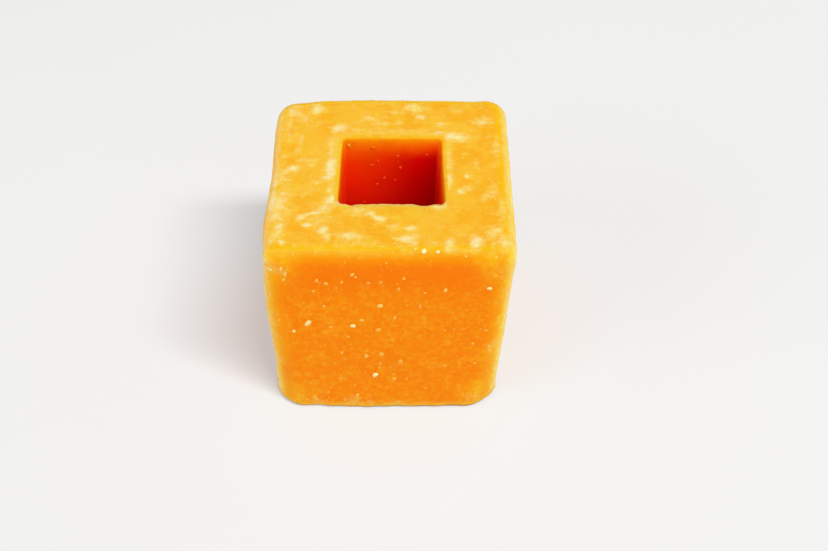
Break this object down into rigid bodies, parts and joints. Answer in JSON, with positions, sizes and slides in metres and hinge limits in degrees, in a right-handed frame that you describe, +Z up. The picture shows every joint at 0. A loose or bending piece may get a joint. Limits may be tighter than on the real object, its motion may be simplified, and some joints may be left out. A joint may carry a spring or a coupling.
{
  "type": "jaggery block",
  "caption": "Cube of unrefined cane sugar with rounded edges and a square hole from top to bottom, orange with a pale frosted top.",
  "frame": {"origin": "centre of the underside of the block's box, on the surface it stands on", "axes": "+Z up along the square hole, -Y towards the front face as pictured, +X to the right of that face"},
  "size_m": [0.061, 0.059, 0.0588],
  "materials": {
    "cast_cane_sugar": "satin, translucent orange cast sugar, paler and frosted on top"
  },
  "bodies": {
    "root": {"jaggery_block": "cast_cane_sugar"}
  },
  "joints": []
}
